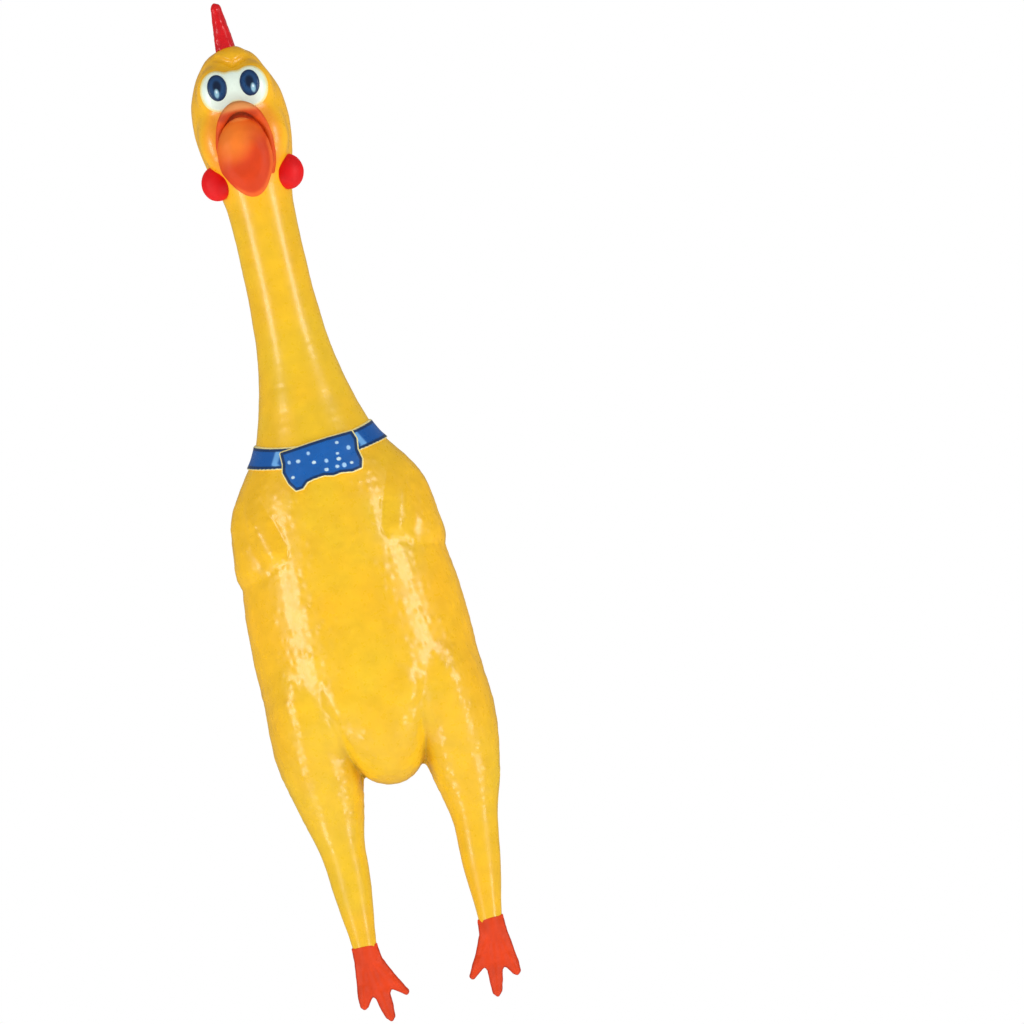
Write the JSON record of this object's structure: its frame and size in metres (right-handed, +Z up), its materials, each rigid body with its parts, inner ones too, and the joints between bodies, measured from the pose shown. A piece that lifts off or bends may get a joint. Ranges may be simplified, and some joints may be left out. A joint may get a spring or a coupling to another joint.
{
  "type": "squeaking rubber chicken",
  "caption": "Long plucked rubber chicken with a floppy neck, dangling webbed feet, painted bow tie and a reed squeaker behind its open beak; squeeze the belly and it squawks.",
  "frame": {"origin": "middle of the neck, on its axis, where a hand holds it", "axes": "+Z up along the neck towards the comb, -Y the way the face and belly look, +X the chicken's own left"},
  "size_m": [0.1186, 0.0806, 0.5421],
  "materials": {
    "skin_yellow": "glossy soft vinyl with goose-skin bumps",
    "comb_paint": "glossy red paint on soft vinyl",
    "beak_paint": "glossy orange paint on soft vinyl",
    "foot_paint": "glossy orange-red paint on soft vinyl",
    "eye_white": "glossy off-white paint on soft vinyl",
    "iris_paint": "glossy dark blue paint on soft vinyl",
    "band_paint": "glossy blue paint on soft vinyl",
    "bow_paint": "glossy blue paint with pale dots on soft vinyl",
    "whistle_plastic": "plain moulded plastic",
    "reed_film": "thin springy film"
  },
  "bodies": {
    "grip": {"neck_grip": "skin_yellow"},
    "neck_top": {"neck_upper": "skin_yellow"},
    "head": {"head_skin": "skin_yellow", "comb": "comb_paint", "upper_beak": "beak_paint", "left_wattle": "comb_paint", "right_wattle": "comb_paint", "eye_patch": "eye_white", "left_iris": "iris_paint", "right_iris": "iris_paint", "whistle_barrel": "whistle_plastic", "whistle_grille": "whistle_plastic", "reed_block": "whistle_plastic", "reed_wedge": "whistle_plastic"},
    "jaw": {"lower_beak": "beak_paint"},
    "reed": {"reed_tongue": "reed_film"},
    "neck_root": {"neck_lower": "skin_yellow"},
    "torso": {"torso_skin": "skin_yellow", "left_wing": "skin_yellow", "right_wing": "skin_yellow", "collar_band": "band_paint", "bow_tie": "bow_paint"},
    "belly": {"belly_panel": "skin_yellow"},
    "left_leg": {"left_drumstick": "skin_yellow"},
    "right_leg": {"right_drumstick": "skin_yellow"},
    "left_shin": {"left_shank": "skin_yellow"},
    "right_shin": {"right_shank": "skin_yellow"},
    "left_toes": {"left_foot": "foot_paint"},
    "right_toes": {"right_foot": "foot_paint"}
  },
  "joints": [
    {"name": "neck_lean", "type": "hinge", "parent": "grip", "child": "neck_top", "pos_m": [0, 0, 0.023], "axis": [0, 1, 0], "range_deg": [-35, 35], "stiffness_Nm_per_rad": 0.8},
    {"name": "head_nod", "type": "hinge", "parent": "neck_top", "child": "head", "pos_m": [0, 0, 0.045], "axis": [1, 0, 0], "range_deg": [-35, 35], "stiffness_Nm_per_rad": 0.8},
    {"name": "beak_close", "type": "hinge", "parent": "head", "child": "jaw", "pos_m": [0, -0.024, 0.088], "axis": [1, 0, 0], "range_deg": [-25, 0], "stiffness_Nm_per_rad": 0.1},
    {"name": "reed_flex", "type": "hinge", "parent": "head", "child": "reed", "pos_m": [0, -0.00762, 0.09112], "axis": [1, 0, 0], "range_deg": [-1, 1], "stiffness_Nm_per_rad": 0.02},
    {"name": "neck_swing", "type": "hinge", "parent": "grip", "child": "neck_root", "pos_m": [0, 0, -0.024], "axis": [1, 0, 0], "range_deg": [-40, 40], "stiffness_Nm_per_rad": 0.8},
    {"name": "trunk_sway", "type": "hinge", "parent": "neck_root", "child": "torso", "pos_m": [0, 0, -0.05], "axis": [0, 1, 0], "range_deg": [-30, 30], "stiffness_Nm_per_rad": 1},
    {"name": "belly_squeeze", "type": "slide", "parent": "torso", "child": "belly", "axis": [0, 1, 0], "range_m": [0, 0.022], "stiffness_N_per_m": 300},
    {"name": "left_hip", "type": "hinge", "parent": "torso", "child": "left_leg", "pos_m": [0.0364, -0.002, -0.281], "axis": [1, 0, 0], "range_deg": [-50, 50], "stiffness_Nm_per_rad": 0.2},
    {"name": "right_hip", "type": "hinge", "parent": "torso", "child": "right_leg", "pos_m": [-0.0364, -0.002, -0.281], "axis": [1, 0, 0], "range_deg": [-50, 50], "stiffness_Nm_per_rad": 0.2},
    {"name": "left_shin_splay", "type": "hinge", "parent": "left_leg", "child": "left_shin", "pos_m": [0.0346, -0.002, -0.316], "axis": [0, -1, 0], "range_deg": [-12, 25], "stiffness_Nm_per_rad": 0.1},
    {"name": "right_shin_splay", "type": "hinge", "parent": "right_leg", "child": "right_shin", "pos_m": [-0.0346, -0.002, -0.316], "axis": [0, 1, 0], "range_deg": [-12, 25], "stiffness_Nm_per_rad": 0.1},
    {"name": "left_ankle", "type": "hinge", "parent": "left_shin", "child": "left_toes", "pos_m": [0.0337, -0.002, -0.345], "axis": [1, 0, 0], "range_deg": [-45, 45], "stiffness_Nm_per_rad": 0.03},
    {"name": "right_ankle", "type": "hinge", "parent": "right_shin", "child": "right_toes", "pos_m": [-0.0337, -0.002, -0.345], "axis": [1, 0, 0], "range_deg": [-45, 45], "stiffness_Nm_per_rad": 0.03}
  ]
}
